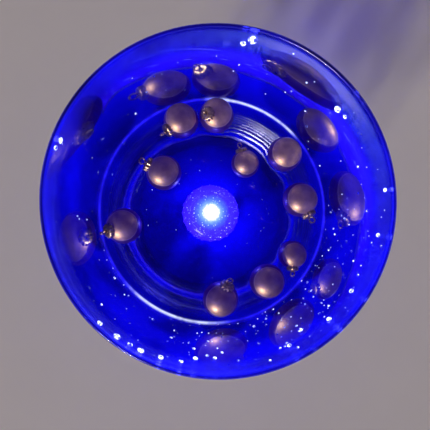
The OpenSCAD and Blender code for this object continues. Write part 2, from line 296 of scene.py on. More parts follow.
@dataclass(frozen=True)
class BlueGlass(ClearFinish):
    """Pressed cobalt glass: wavy and ribbed inside, deep at the heel, wet above the water.

    It is slightly misted under the lip and carries a faint painted glow of the lamp's light. Each
    rib has a narrow bright facet, leaned so that it mirrors the windows.
    """

    wall_mid: Span = (0.0568, 0.0717)  # The wall's middle: its radius at z = 0, and its lean.
    wall_blur: float = 0.0003
    wet_z: Span = (0.063, 0.065)
    mist_z: Span = (0.111, 0.119)
    deep: Colour = (0.001, 0.001, 0.32)
    pale: Colour = (0.003, 0.003, 0.50)
    heel: Colour = (0.0005, 0.0005, 0.12)
    heel_r: Span = (0.0445, 0.0475)
    heel_z: Span = (0.022, 0.032)
    # Painted lamp light: its colour, and the shares of its patches, flecks and even part.
    glow: Colour = (0.003, 0.001, 1.0)
    glow_patches: float = 0.50
    glow_flecks: float = 0.14
    glow_even: float = 0.20
    ring_z: float = 0.013
    ring_pitch: float = 0.0045
    ribs_from: Span = (0.009, 0.012)
    ribs_to: Span = (0.047, 0.050)
    lean_z: float = 0.0114  # The height from which a facet's lean is counted.
    lean: Point = (0.22, 47.5, -600.0)  # The lean there, and its factors for height and its square.
    lean_most: float = 0.966
    rib_back: float = 0.016  # The slope of a rib's steep return, in metres for each pitch.
    facet_mid: float = 0.43  # Places on a rib, as shares of its pitch.
    facet_half: Span = (0.15, 0.21)
    facet: Colour = (0.20, 0.20, 0.20)
    relief: float = 0.0006
    dry_waves: float = 0.3
    wet_waves: float = 0.45
    wet_streaks: float = 0.25
    mist_smooths: float = 0.2
    polish: float = 0.012
    streak_rough: float = 0.05
    facet_rough: float = 0.145
    mist_rough: float = 0.20
    coat_from: Span = (0.020, 0.030)
    coat_to: Span = (0.106, 0.116)
    coat_left: float = 0.15

    def paint(self, book: NodeBook) -> Wire:
        """Writes the glass.

        Args:
            book: The book of the material's tree.

        Returns:
            The wire of its surface.
        """
        spot = book.spot()
        x, y, z = book.axes(spot)
        radius = off_axis(x, y)
        inner = book.step(self.wall_mid[0] + z * self.wall_mid[1] - radius,
                          (-self.wall_blur, self.wall_blur))
        wet, mist = inner * book.step(z, self.wet_z), inner * book.step(z, self.mist_z)
        waves = book.noise(book.stretch(spot, (1, 1, 0.45)), scale=55, detail=2)
        streaks = book.noise(book.stretch(spot, (1, 1, 0.12)), scale=420, detail=3)
        tint = book.mix(book.step(waves, (0.3, 0.7)), self.deep, self.pale)
        thick = book.step(radius, self.heel_r) * book.fade(z, self.heel_z)
        tint = book.mix(thick, tint, self.heel)
        ridge, facet = self._ribs(book, z, inner)
        swell = waves * (wet * self.wet_waves + self.dry_waves)
        runs = streaks * wet * (self.wet_streaks - mist * self.mist_smooths)
        coat = book.step(z, self.coat_from) * book.fade(z, self.coat_to, self.coat_left)
        rough = self.polish + streaks * wet * self.streak_rough
        return self.pass_lamps(book, book.surface({
            "Base Color": book.mix(facet, tint, self.facet), "Metallic": facet,
            "Roughness": rough + facet * self.facet_rough + mist * self.mist_rough,
            "IOR": 1.5, "Transmission Weight": 1.0,
            "Coat Weight": inner * coat, "Coat IOR": 3.9, "Coat Roughness": 0.02,
            "Emission Color": self._lamp_glow(book, spot), "Emission Strength": 1.0,
            "Normal": book.bump(swell + runs + ridge, self.relief)}))

    def _lamp_glow(self, book: NodeBook, spot: Wire) -> Wire:
        """Writes the painted lamp light on the glass, broken by broad patches and fine flecks.

        Args:
            book: The book of the material's tree.
            spot: The coordinates.

        Returns:
            The wire of the glow.
        """
        patch = book.step(book.noise(spot, scale=38, detail=2, rough=0.4), (0.36, 0.62))
        fleck = book.step(book.noise(spot, scale=240, detail=3), (0.50, 0.72))
        share = patch * self.glow_patches + fleck * self.glow_flecks + self.glow_even
        return book.mix(book.attribute("lamp_light") * share, BLACK, self.glow)

    def _ribs(self, book: NodeBook, z: Wire, inner: Wire) -> tuple[Wire, Wire]:
        """Writes the ribs and their facets.

        Args:
            book: The book of the material's tree.
            z: The height.
            inner: How far a point is on the inside of the wall, from 0 to 1.

        Returns:
            The ribs' relief as a share of the glass's relief, and where the facets lie.
        """
        ribbed = inner * book.step(z, self.ribs_from) * book.fade(z, self.ribs_to)
        climb = book.math("FRACT", (z - self.ring_z) / self.ring_pitch + 0.5)
        rise = climb * self.ring_pitch
        up = z - rise * 0.5 - self.lean_z
        first, more, square = self.lean
        lean = book.math("MINIMUM", up * more + up * up * square + first, self.lean_most)
        ridge = book.math("MAXIMUM", lean * rise * -1.0, (climb - 1.0) * self.rib_back)
        off = book.math("ABSOLUTE", climb - self.facet_mid)
        return ribbed * (ridge / self.relief), ribbed * book.fade(off, self.facet_half)


@dataclass(frozen=True)
class DeepWater(ClearFinish):
    """Still water, deep blue by the lamp's light, with faint ripples and a painted glow along its
    edge.

    The painted edge glow is blue, with a painted white highlight towards one bearing and its
    opposite.
    """

    # The tint is paler in the middle: painted lamp light round the bulb.
    middle: Colour = (0.42, 0.46, 1.0)
    outer: Colour = (0.30, 0.34, 0.92)
    outer_r: Span = (0.012, 0.05)
    ripple: float = 0.0003
    # The painted glow along the edge, and its painted white highlight towards one bearing.
    edge_rise: Span = (0.62, 0.92)
    edge_blue: Colour = (0.03, 0.02, 1.0)
    edge_white: Colour = (0.75, 0.82, 1.0)
    white_bearing: float = 66.0
    white_span: Span = (0.76, 0.96)
    white_ragged: float = 0.4

    def paint(self, book: NodeBook) -> Wire:
        """Writes the water.

        Args:
            book: The book of the material's tree.

        Returns:
            The wire of its surface.
        """
        spot = book.spot()
        x, y, _ = book.axes(spot)
        radius = off_axis(x, y)
        waves = book.noise(book.stretch(spot, (1, 1, 0.2)), scale=60, detail=2)
        tint = book.mix(book.step(radius, self.outer_r), self.middle, self.outer)
        bearing = math.radians(self.white_bearing)
        side = (x * math.cos(bearing) + y * math.sin(bearing)) / radius
        cloud = book.noise(spot, scale=26, detail=1, rough=0.3)
        white = book.step(side * side + (cloud - 0.5) * self.white_ragged, self.white_span)
        hue = book.mix(white, self.edge_blue, self.edge_white)
        broken = book.step(book.noise(spot, scale=150, detail=2), (0.3, 0.6), 0.4, 1.0)
        edge = book.step(book.attribute("rise"), self.edge_rise) * broken
        return self.pass_lamps(book, book.surface({
            "Base Color": tint, "Roughness": 0.0, "IOR": WATER_IOR, "Transmission Weight": 1.0,
            "Emission Color": book.mix(edge * (white * 0.5 + 0.6), BLACK, hue),
            "Emission Strength": 1.0, "Normal": book.bump(waves, self.ripple)}))


@dataclass(frozen=True)
class ClearDrop(ClearFinish):
    """Clear beads of water or air with painted glints: bright points that stand for the lamp in
    them.
    """

    deep: Colour = (0.30, 0.36, 1.0)
    pale: Colour = (0.7, 0.78, 1.0)
    # The painted glints: their colour, strength and the share of each bead they cover.
    glint: Colour = (0.72, 0.80, 1.0)
    sparkle: float = 1.0
    spread: Span = (0.52, 0.64)

    def paint(self, book: NodeBook) -> Wire:
        """Writes the beads.

        Args:
            book: The book of the material's tree.

        Returns:
            The wire of their surface.
        """
        grain = book.noise(book.spot(), scale=700, detail=1)
        return self.pass_lamps(book, book.surface({
            "Base Color": book.mix(grain, self.deep, self.pale), "Roughness": 0.0, "IOR": 1.4,
            "Transmission Weight": 1.0,
            "Emission Color": book.mix(book.step(grain, self.spread), BLACK, self.glint),
            "Emission Strength": self.sparkle}))


@dataclass(frozen=True)
class LampGlow(ClearFinish):
    """Clear moulded plastic lit from inside: white over the bulb, pale blue, violet at the edge."""

    bulb_z: float = 0.0225
    flatten: float = 0.3
    ragged: float = 0.0022
    reach: float = 0.0185
    light: Stops = (
        (0.0, WHITE), (0.285, WHITE), (0.37, (0.12, 0.25, 0.68)), (0.48, (0.036, 0.080, 0.40)),
        (0.62, (0.024, 0.012, 0.33)), (1.0, (0.016, 0.002, 0.25)))
    body: Colour = (0.06, 0.03, 0.80)
    speck: Colour = (0.3, 0.3, 0.95)
    speck_light: Colour = (0.6, 0.72, 1.2)
    speck_size: Span = (0.08, 0.24)
    speck_dims: Span = (0.006, 0.015)
    relief: float = 0.0002

    def paint(self, book: NodeBook) -> Wire:
        """Writes the lit plastic.

        Args:
            book: The book of the material's tree.

        Returns:
            The wire of its surface.
        """
        spot = book.spot()
        x, y, z = book.axes(spot)
        rise = z - self.bulb_z
        away = (x * x + y * y + rise * rise * self.flatten) ** 0.5
        speck = book.fade(book.cells(spot, scale=520), self.speck_size)
        uneven = away + (book.noise(spot, scale=900, detail=3) - 0.5) * self.ragged
        light = book.ramp(uneven / self.reach, self.light)
        shown = speck * book.step(away, self.speck_dims, 0.5, 0.15)
        return self.pass_lamps(book, book.surface({
            "Base Color": book.mix(speck, self.body, self.speck),
            "Roughness": 0.12 + speck * 0.2, "IOR": 1.49, "Transmission Weight": 0.6,
            "Coat Weight": 1.0, "Coat IOR": 1.9, "Coat Roughness": 0.03,
            "Emission Color": book.mix(shown, light, self.speck_light), "Emission Strength": 3.0,
            "Normal": book.bump(speck, self.relief)}))


@dataclass(frozen=True)
class LitBulb(Finish):
    """The lit bulb: a hot core in a clear body."""

    body: Colour = (0.8, 0.88, 1.0)
    halo: Colour = (0.35, 0.5, 1.0)
    tip_z: float = 0.027
    taper: float = 0.1
    core: Span = (0.0004, 0.0034)

    def paint(self, book: NodeBook) -> Wire:
        """Writes the bulb.

        Args:
            book: The book of the material's tree.

        Returns:
            The wire of its surface.
        """
        x, y, z = book.axes(book.spot())
        cool = book.step(off_axis(x, y) + (self.tip_z - z) * self.taper, self.core)
        return book.surface({
            "Base Color": (*self.body, 1), "Roughness": 0.15,
            "Emission Color": book.mix(cool, WHITE, self.halo), "Emission Strength": 6.0})


@dataclass(frozen=True)
class Plastic(Finish):
    """Moulded plastic or rubber with a fine grain and worn patches."""

    colour: Colour = (0.8, 0.8, 0.8)
    worn: Colour = (0.7, 0.7, 0.72)
    roughness: float = 0.42
    relief: float = 0.00004

    def paint(self, book: NodeBook) -> Wire:
        """Writes the plastic.

        Args:
            book: The book of the material's tree.

        Returns:
            The wire of its surface.
        """
        spot = book.spot()
        fine = book.noise(spot, scale=2600, detail=2)
        broad = book.noise(spot, scale=180, detail=4)
        return book.surface({
            "Base Color": book.mix(book.step(broad, (0.42, 0.68)), self.colour, self.worn),
            "Roughness": self.roughness + (broad - 0.5) * 0.2,
            "Normal": book.bump(fine, self.relief)})


@dataclass(frozen=True)
class BrushedMetal(Finish):
    """Rolled or plated metal with a directional scratch pattern and dull patches."""

    colour: Colour = (0.7, 0.7, 0.7)
    dull: Colour = (0.5, 0.5, 0.5)
    roughness: float = 0.28
    pull: Point = (1.0, 1.0, 12.0)
    relief: float = 0.00003

    def paint(self, book: NodeBook) -> Wire:
        """Writes the metal.

        Args:
            book: The book of the material's tree.

        Returns:
            The wire of its surface.
        """
        spot = book.spot()
        lines = book.noise(book.stretch(spot, self.pull), scale=700, detail=3)
        patches = book.step(book.noise(spot, scale=320, detail=4), (0.40, 0.66))
        return book.surface({
            "Base Color": book.mix(patches, self.colour, self.dull), "Metallic": 1.0,
            "Roughness": self.roughness + (lines - 0.5) * 0.22,
            "Normal": book.bump(lines, self.relief)})


@dataclass(frozen=True)
class BronzeLacquer(Finish):
    """Metallic bronze lacquer on a blown shell: mottled, rippled, and painted dark violet low down
    as shade.
    """

    line: float = 0.52  # The top of the painted shade: its height over the shell's middle, in radii.
    line_ragged: float = 0.10
    line_blur: float = 0.03
    rim_highlight_w: float = 0.06
    dark: Colour = (0.38, 0.24, 0.145)
    light: Colour = (0.52, 0.35, 0.20)
    # Painted shade low down: dark violet, mottled from dark to light.
    low_shade_dark: Colour = (0.10, 0.045, 0.12)
    painted_low_light: Colour = (0.20, 0.10, 0.17)
    # A painted highlight band just above the painted shade, and its share.
    rim: Colour = (0.75, 0.6, 0.5)
    rim_highlight_share: float = 0.4
    # A faint painted blue glow that stands for the lamp's light on the lacquer.
    glow: Colour = (0.006, 0.0, 0.075)
    relief: float = 0.00005

    def paint(self, book: NodeBook) -> Wire:
        """Writes the lacquer.

        Args:
            book: The book of the material's tree.

        Returns:
            The wire of its surface.
        """
        spot = book.spot()
        cloud = book.noise(spot, scale=210, detail=4)
        peel = book.noise(spot, scale=1500, detail=2)
        uneven = (book.noise(spot, scale=260, detail=2) - 0.5) * self.line_ragged
        height = book.attribute("height_share") + uneven
        # Below the line the lacquer is painted shade; just above it lies a painted highlight band.
        low, high = self.line - self.line_blur, self.line + self.line_blur
        above_shade = book.step(height, (low, high))
        rim = above_shade * book.fade(height, (high, high + self.rim_highlight_w))
        coat = book.mix(book.step(cloud, (0.36, 0.66)), self.dark, self.light)
        tone = book.mix(above_shade, book.mix(cloud, self.low_shade_dark, self.painted_low_light), coat)
        return book.surface({
            "Base Color": book.mix(rim * self.rim_highlight_share, tone, self.rim), "Metallic": 0.88,
            "Roughness": 0.46 + (cloud - 0.5) * 0.16 - (1 - above_shade) * 0.12,
            "Coat Weight": 0.15 + (1 - above_shade) * 0.5, "Coat Roughness": 0.12,
            "Emission Color": (*self.glow, 1), "Emission Strength": 1.0,
            "Normal": book.bump(peel * 0.6 + cloud * 0.4, self.relief)})


@dataclass(frozen=True)
class PaleFloor(Finish):
    """Plain pale matt table top."""

    dim: Colour = (0.84, 0.87, 0.90)
    pale: Colour = (0.88, 0.91, 0.94)

    def paint(self, book: NodeBook) -> Wire:
        """Writes the floor and gives the wire of its surface."""
        tone = book.mix(book.noise(book.spot(), scale=30, detail=3), self.dim, self.pale)
        return book.surface({"Base Color": tone, "Roughness": 0.8})


class BaubleSize(Enum):
    """The two sizes of bauble, by diameter."""

    LARGE = 18.5
    SMALL = 15.0


def spread(start: float, end: float, steps: int) -> list[float]:
    """Gives evenly spread values from start to end, both included."""
    return [start + (end - start) * i / steps for i in range(steps + 1)]


def circle(radius: float, count: int, x: float = 0.0, y: float = 0.0) -> list[Vector]:
    """Gives the points of a level circle round a middle."""
    return [Vector((x + radius * math.cos(FULL_TURN * i / count),
                    y + radius * math.sin(FULL_TURN * i / count))) for i in range(count)]


def plain(outline: Iterable[Span]) -> list[Ring]:
    """Gives the points of an outline, radius and height, no share of the ridges."""
    return [(r, 0.0, z) for r, z in outline]


def add_object(name: str, data: bpy.types.ID) -> bpy.types.Object:
    """Puts an object into the scene.

    Args:
        name: The object's name.
        data: Its mesh, light or camera.

    Returns:
        The object.
    """
    made = bpy.data.objects.new(name, data)
    bpy.context.scene.collection.objects.link(made)
    return made


def mark(mesh: bpy.types.Mesh, name: str, rule: Callable[[Vector], float]) -> None:
    """Keeps a value at each point of a mesh.

    Args:
        mesh: The mesh.
        name: The value's name.
        rule: Gives the value for a place in millimetres.
    """
    values = mesh.attributes.new(name, "FLOAT", "POINT").data
    for point, value in zip(mesh.vertices, values):
        value.value = rule(point.co / MM)


def open_tree(name: str, inputs: dict[str, str]) -> tuple[NodeBook, Made]:
    """Starts a geometry tree with named inputs and one output.

    Args:
        name: The tree's name.
        inputs: Socket types by name.

    Returns:
        The tree's book, and the node that gives its inputs.
    """
    tree = bpy.data.node_groups.new(name, "GeometryNodeTree")
    for socket, kind in inputs.items():
        tree.interface.new_socket(socket, in_out="INPUT", socket_type="NodeSocket" + kind)
    tree.interface.new_socket("Geometry", in_out="OUTPUT", socket_type="NodeSocketGeometry")
    book = NodeBook(tree)
    return book, book.node("NodeGroupInput")


def close_tree(book: NodeBook, shape: Wire, finish: Wire) -> None:
    """Ends a geometry tree with a plain mesh in one finish.

    Args:
        book: The tree's book.
        shape: The geometry.
        finish: The material.
    """
    real = book.node("GeometryNodeRealizeInstances", {}, {"Geometry": shape})[0]
    done = book.node("GeometryNodeSetMaterial", {}, {"Geometry": real, "Material": finish})[0]
    book.node("NodeGroupOutput", {}, {"Geometry": done})


def grow(tree: bpy.types.NodeTree, mesh: bpy.types.Mesh, values: dict[str, Any]) -> bpy.types.Mesh:
    """Runs a geometry tree on a mesh.

    Args:
        tree: The tree.
        mesh: What it starts from. It is used up.
        values: Its other inputs by name.

    Returns:
        The result as a plain mesh.
    """
    holder = add_object("holder", mesh)
    modifier = holder.modifiers.new("grow", "NODES")
    modifier.node_group = tree
    for item in tree.interface.items_tree:
        if item.item_type == "SOCKET" and item.in_out == "INPUT" and item.name in values:
            modifier[item.identifier] = values[item.name]
    depsgraph = bpy.context.evaluated_depsgraph_get()
    grown = bpy.data.meshes.new_from_object(holder.evaluated_get(depsgraph))
    holder.modifiers.remove(modifier)
    bpy.data.objects.remove(holder)
    bpy.data.meshes.remove(mesh)
    return grown


class Turner:
    """Turns an outline round the Z axis, with ridges where the outline asks for them."""

    def __init__(self) -> None:
        """Writes the tree. An outline's points hold radius, share of the ridges and height."""
        book, given = open_tree("turned_form", {
            "Outline": "Geometry", "Segments": "Int", "Ridges": "Int", "Ridge Depth": "Float",
            "Ridge Sharpness": "Float", "Finish": "Material"})
        self.tree = book.tree
        count = book.node("GeometryNodeAttributeDomainSize", {"component": "MESH"}, {
            "Geometry": given["Outline"]})["Point Count"]
        grid = book.node("GeometryNodeMeshGrid", {}, {
            "Vertices X": given["Segments"] + 1, "Vertices Y": count})["Mesh"]
        index = book.node("GeometryNodeInputIndex")["Index"]
        turned = book.math("FLOOR", (index + 0.5) / count)
        sampled = {"data_type": "FLOAT_VECTOR", "domain": "POINT"}
        place = book.node("GeometryNodeSampleIndex", sampled, {
            "Geometry": given["Outline"], "Index": index - turned * count,
            "Value": book.node("GeometryNodeInputPosition")["Position"]})["Value"]
        plain_r, share, height = book.axes(place)
        angle = turned * FULL_TURN / given["Segments"]
        crest = book.math("COSINE", angle * given["Ridges"]) * 0.5 + 0.5
        radius = plain_r + share * given["Ridge Depth"] * crest ** given["Ridge Sharpness"]
        spot = book.vector(radius * book.math("COSINE", angle),
                           radius * book.math("SINE", angle), height)
        shape = book.node("GeometryNodeSetPosition", {}, {"Geometry": grid, "Position": spot})[0]
        closed = book.node("GeometryNodeMergeByDistance", {}, {
            "Geometry": shape, "Distance": SEAM_GAP})[0]
        close_tree(book, closed, given["Finish"])

    def turn(self, rings: Sequence[Ring], finish: Finish, segments: int, ridges: int = 0,
             depth: float = 0.0, sharpness: float = 1.0, crease: float = 38.0) -> bpy.types.Mesh:
        """Turns one outline.

        Args:
            rings: The outline's points: radius, share of the ridges, height.
            finish: The finish of the piece.
            segments: Flats round the axis.
            ridges: Number of ridges.
            depth: How far they stand out.
            sharpness: How narrow they are.
            crease: The angle in degrees from which an edge stays sharp.

        Returns:
            The turned mesh, closed and facing outwards.
        """
        outline = bpy.data.meshes.new("outline")
        points = [(r * MM, share, z * MM) for r, share, z in rings]
        outline.from_pydata(points, [(i, i + 1) for i in range(len(points) - 1)], [])
        return tidy(grow(self.tree, outline, {
            "Segments": segments, "Ridges": ridges, "Ridge Depth": depth * MM,
            "Ridge Sharpness": sharpness, "Finish": finish.material()}), crease)


class Beads:
    """Scatters round beads over a surface, crowded towards one bearing."""

    crowd_power = 3
    size_power = 3
    size_seed = 7
    bead_detail = 2

    def __init__(self) -> None:
        """Writes the tree."""
        book, given = open_tree("beads", {
            "Surface": "Geometry", "Density": "Float", "Smallest": "Float", "Largest": "Float",
            "Height": "Float", "Bearing": "Float", "Crowding": "Float", "Seed": "Int",
            "Finish": "Material"})
        self.tree = book.tree
        x, y, _ = book.axes(book.node("GeometryNodeInputPosition")["Position"])
        bearing = book.math("ARCTAN2", y, x) - given["Bearing"]
        towards = book.math("COSINE", bearing) * 0.5 + 0.5
        share = towards ** self.crowd_power * given["Crowding"] + (1 - given["Crowding"])
        points = book.node("GeometryNodeDistributePointsOnFaces", {"distribute_method": "RANDOM"}, {
            "Mesh": given["Surface"], "Density": given["Density"] * share, "Seed": given["Seed"]})
        chance = book.node("FunctionNodeRandomValue", {"data_type": "FLOAT"}, {
            "Min": 0.0, "Max": 1.0, "Seed": given["Seed"] + self.size_seed})[1]
        more = (given["Largest"] - given["Smallest"]) * chance ** self.size_power
        size = given["Smallest"] + more
        bead = book.node("GeometryNodeMeshIcoSphere", {}, {
            "Radius": 1.0, "Subdivisions": self.bead_detail})["Mesh"]
        beads = book.node("GeometryNodeInstanceOnPoints", {}, {
            "Points": points["Points"], "Instance": bead, "Rotation": points["Rotation"],
            "Scale": book.vector(size, size, size * given["Height"])})[0]
        close_tree(book, beads, given["Finish"])

    def scatter(self, surface: bpy.types.Mesh, finish: Finish, density: float, sizes: Span,
                height: float, seed: int, bearing: float = 0.0,
                crowding: float = 0.0) -> bpy.types.Mesh:
        """Scatters beads.

        Args:
            surface: Where they sit. It is used up.
            finish: The beads' finish.
            density: Most beads for each square centimetre.
            sizes: Least and most radius.
            height: Height of a bead as a share of its radius.
            seed: The pattern's seed.
            bearing: The side where they crowd, in degrees.
            crowding: How much of the density follows that side, from 0 to 1.

        Returns:
            The beads as one mesh.
        """
        beads = grow(self.tree, surface, {
            "Density": density * PER_SQUARE_CM, "Smallest": sizes[0] * MM,
            "Largest": sizes[1] * MM, "Height": height, "Bearing": math.radians(bearing),
            "Crowding": crowding, "Seed": seed, "Finish": finish.material()})
        smooth(beads)
        return beads


def smooth(mesh: bpy.types.Mesh, crease: float | None = None) -> None:
    """Shades a mesh smooth.

    Args:
        mesh: The mesh.
        crease: The angle in degrees from which an edge stays sharp, if any does.
    """
    mesh.polygons.foreach_set("use_smooth", [True] * len(mesh.polygons))
    if crease is not None:
        mesh.set_sharp_from_angle(angle=math.radians(crease))
    mesh.update()


def tidy(mesh: bpy.types.Mesh, crease: float) -> bpy.types.Mesh:
    """Closes a mesh's seams, turns its faces outwards and shades it.

    Args:
        mesh: The mesh.
        crease: The angle in degrees from which an edge stays sharp.

    Returns:
        The same mesh.
    """
    shape = bmesh.new()
    shape.from_mesh(mesh)
    bmesh.ops.remove_doubles(shape, verts=shape.verts, dist=DOUBLE_GAP)
    bmesh.ops.recalc_face_normals(shape, faces=shape.faces)
    if shape.calc_volume(signed=True) < 0:
        bmesh.ops.reverse_faces(shape, faces=shape.faces)
    shape.to_mesh(mesh)
    shape.free()
    smooth(mesh, crease)
    return mesh


def tube(path: Sequence[Vector], radius: float,
         sides: int) -> tuple[list[Vector], list[tuple[int, ...]]]:
    """Draws a round wire along a path.

    Args:
        path: Points along its middle.
        radius: The wire's radius.
        sides: Flats round it.

    Returns:
        Points and faces, closed at both ends.
    """
    points, faces = [], []
    across = Vector((1, 0, 0))
    for i, spot in enumerate(path):
        along = (path[min(i + 1, len(path) - 1)] - path[max(i - 1, 0)]).normalized()
        across = (across - along * across.dot(along)).normalized()
        other = along.cross(across)
        points += [spot + across * p.x + other * p.y for p in circle(radius, sides)]
    for i in range(len(path) - 1):
        for j in range(sides):
            k = (j + 1) % sides
            faces.append((i * sides + j, i * sides + k, (i + 1) * sides + k, (i + 1) * sides + j))
    faces.append(tuple(range(sides - 1, -1, -1)))
    faces.append(tuple(range((len(path) - 1) * sides, len(path) * sides)))
    return points, faces


def place_piece(name: str, mesh: bpy.types.Mesh, body: str,
                stands_for: Sequence[str] = ()) -> None:
    """Puts a finished mesh into the scene.

    Args:
        name: The piece's name.
        mesh: Its mesh, in place.
        body: The body that it rides on.
        stands_for: The solids that it replaces.
    """
    mesh.name = name
    piece = add_object(name, mesh)
    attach(piece, body)
    if stands_for:
        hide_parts(*stands_for)
    log.info("%s: %d faces on %s", name, len(mesh.polygons), body)


@dataclass
class Bowl:
    """The glass bowl: a leaning wall on a round heel, with mould rings round the outside."""

    rim_r: float = 66.3
    lip_t: float = 1.8
    lip_z: float = 125.1
    lip_steps: int = 8
    wall_t: float = 2.6
    floor_t: float = 8.0
    lean: float = math.tan(math.radians(4.1))
    heel_w: float = 14.0
    heel_h: float = 28.0
    foot_w: float = 8.0
    foot_rows: tuple[float, ...] = (8.5, 6.5, 4.8, 3.3, 2.0, 1.0, 0.35, 0.0)
    punt_h: float = 1.5
    punt_slope: float = 3.0
    punt_mid: float = 0.4
    ring_n: int = 8
    ring_z: float = 13.0
    ring_pitch: float = 4.5
    ring_r: float = 1.4
    ring_out: float = 0.8
    ring_root: float = 0.3
    ring_steps: int = 14
    floor_rows: int = 6
    heel_steps: int = 28
    wall_rows: int = 56
    back_rows: int = 12
    segments: int = 240
    crease: float = 62.0
    water_z: float = 63.0
    bulb_z: float = 25.0
    skin: float = 0.3
    floor_skin: float = 0.1
    heel_skin: float = 1.0
    halvings: int = 30
    wall_light: Span = (0.66, 0.26)  # The painted lamp light on the dry wall, and its gain half way up.
    near_light: Span = (0.86, 0.17)  # The painted light's share at the sides, and its gain on the near side.
    # Painted lamp light under the water: its least level, then a pool round the bulb: level, reach
    # and fall.
    painted_low_light: float = 0.26
    floor_light: float = 1.2
    floor_far: float = 26.0
    floor_fall: float = 13.0
    shadow: Span = (0.80, 1.08)  # A bauble's painted soft shadow on the glass, as shares of its radius.
    finish: BlueGlass = BlueGlass("cobalt_glass")
    # The drops and bubbles carry painted glints.
    drops: ClearDrop = ClearDrop("wall_drops", sparkle=1.6)
    drops_z: Span = (66.5, 122.1)
    runs: ClearDrop = ClearDrop("lip_drops", sparkle=2.2, spread=(0.40, 0.56))
    run_form: Point = (0.5, 1.0, 1.4)
    hanging: tuple[Point, ...] = (  # Bearing, height and size of each drop under the lip.
        (79, 120.0, 1.9), (82, 116.6, 1.2), (38, 110.5, 1.5), (34, 111.6, 0.9),
        (164, 123.0, 0.9), (161, 121.4, 1.2), (-134, 122.6, 1.1), (-127, 121.8, 1.4),
        (-122, 121.0, 1.0), (-118, 120.9, 1.3), (-111, 119.2, 1.1), (-104, 117.5, 0.9),
        (3, 121.0, 0.8), (-13, 117.9, 0.9), (-35, 115.1, 1.0), (-48, 115.6, 1.1),
        (-65, 114.4, 0.9), (-58, 107.3, 1.0), (-99, 112.0, 1.0), (-92, 110.2, 0.8))
    bubbles: ClearDrop = ClearDrop("floor_bubbles", sparkle=1.2)
    bubbles_r: Point = (20.0, 30.0, 42.0)

    def __post_init__(self) -> None:
        """Works out the heel from the wall."""
        self.heel_end = math.atan2(self.heel_w, self.heel_h * self.lean)
        self.heel_z = self.floor_t + self.heel_h * (1 - math.cos(self.heel_end))
        self.heel_r = self.wall_r(self.heel_z)
        self.foot_r = self.heel_r - self.heel_w * math.sin(self.heel_end)
        self.back_w = (self.heel_r + self.wall_t - self.foot_r) / math.sin(self.heel_end)
        self.back_h = self.heel_z / (1 - math.cos(self.heel_end))

    def wall_r(self, z: float) -> float:
        """Gives the inside radius of the wall at a height."""
        return self.rim_r - self.lip_t - (self.lip_z - z) * self.lean

    def inside(self, out: float, top: float, steps: int, rows: int) -> list[Ring]:
        """Draws the inside from the middle of the floor up.

        Args:
            out: How far outside the glass's inner face the outline runs.
            top: The height where it ends.
            steps: Points along the heel.
            rows: Points up the wall.

        Returns:
            The outline.
        """
        flat = [(self.foot_r * i / self.floor_rows, self.floor_t - out)
                for i in range(self.floor_rows)]
        heel = [(self.foot_r + (self.heel_w + out) * math.sin(a),
                 self.floor_t - out + (self.heel_h + out) * (1 - math.cos(a)))
                for a in spread(0.0, self.heel_end, steps)]
        wall = [(self.wall_r(z) + out, z) for z in spread(self.heel_z, top, rows)[1:]]
        return plain(flat + heel + wall)

    def back(self, z: float, out: float = 0.0) -> Span:
        """Gives a point of the outside at a height.

        Args:
            z: The height.
            out: How far the point stands out from the plain wall.

        Returns:
            Its radius and height.
        """
        if z < self.heel_z:
            r = self.foot_r + self.back_w * math.sin(math.acos(1 - z / self.back_h))
        else:
            start = self.heel_r + self.wall_t
            r = start + (self.rim_r - start) * (z - self.heel_z) / (self.lip_z - self.heel_z)
        return r + out, z

    def mould_ring(self, middle: float) -> list[Span]:
        """Draws one ring's round bead from its top to its foot, with a soft root at each end.

        Args:
            middle: The ring's height.

        Returns:
            The outline's radii and heights, with the plain wall half a pitch lower as its end.
        """
        sunk = self.ring_r - self.ring_out
        end = math.acos(sunk / self.ring_r)
        root = self.ring_r * math.sin(end) + self.ring_root
        bead = [self.back(middle + self.ring_r * math.sin(a), self.ring_r * math.cos(a) - sunk)
                for a in spread(end, -end, self.ring_steps)]
        return [self.back(middle + root), *bead, self.back(middle - root),
                self.back(middle - self.ring_pitch / 2)]

    def outline(self) -> list[Ring]:
        """Draws the whole section, from the middle of the floor round the lip to the foot.

        Returns:
            The outline.
        """
        lip_r = self.lip_t / 2
        lip = [(self.rim_r - lip_r - lip_r * math.cos(a), self.lip_z + lip_r * math.sin(a))
               for a in spread(0.0, math.pi, self.lip_steps)[1:-1]]
        rings_top = self.ring_z + (self.ring_n - 0.5) * self.ring_pitch
        back = [self.back(z) for z in spread(self.lip_z, rings_top, self.back_rows)]
        for i in reversed(range(self.ring_n)):
            back += self.mould_ring(self.ring_z + i * self.ring_pitch)
        back += [self.back(z) for z in self.foot_rows]
        punt_r = self.foot_r - self.foot_w
        foot = [(punt_r, 0.0), (punt_r - self.punt_slope, self.punt_h),
                (self.foot_r * self.punt_mid, self.punt_h), (0.0, self.punt_h)]
        front = self.inside(0.0, self.lip_z, self.heel_steps, self.wall_rows)
        return front + plain(lip + back + foot)

    def bend(self, r: float, z: float) -> float:
        """Finds where a ray from the bulb to a point above the water leaves the surface.

        Args:
            r: The point's radius.
            z: Its height.

        Returns:
            The radius at which the ray passes the surface.
        """
        low, high = 0.0, r
        depth, rise = self.water_z - self.bulb_z, z - self.water_z
        for _ in range(self.halvings):
            mid = (low + high) / 2
            below = mid / math.hypot(mid, depth)
            above = (r - mid) / math.hypot(r - mid, rise)
            low, high = (mid, high) if above > WATER_IOR * below else (low, mid)
        return (low + high) / 2

    def outward(self, r: float, z: float) -> bool:
        """Tells whether a point lies on the wall's outside or the foot, which are left unlit.

        The heel is lit through, apart from its lowest part.

        Args:
            r: The point's radius.
            z: Its height.

        Returns:
            Whether it does.
        """
        wall = z > self.heel_z and r > self.wall_r(z) + self.skin
        heel = z < self.floor_t + self.heel_skin and r > self.foot_r + self.heel_w / 2
        return wall or heel or z < self.floor_t - self.floor_skin

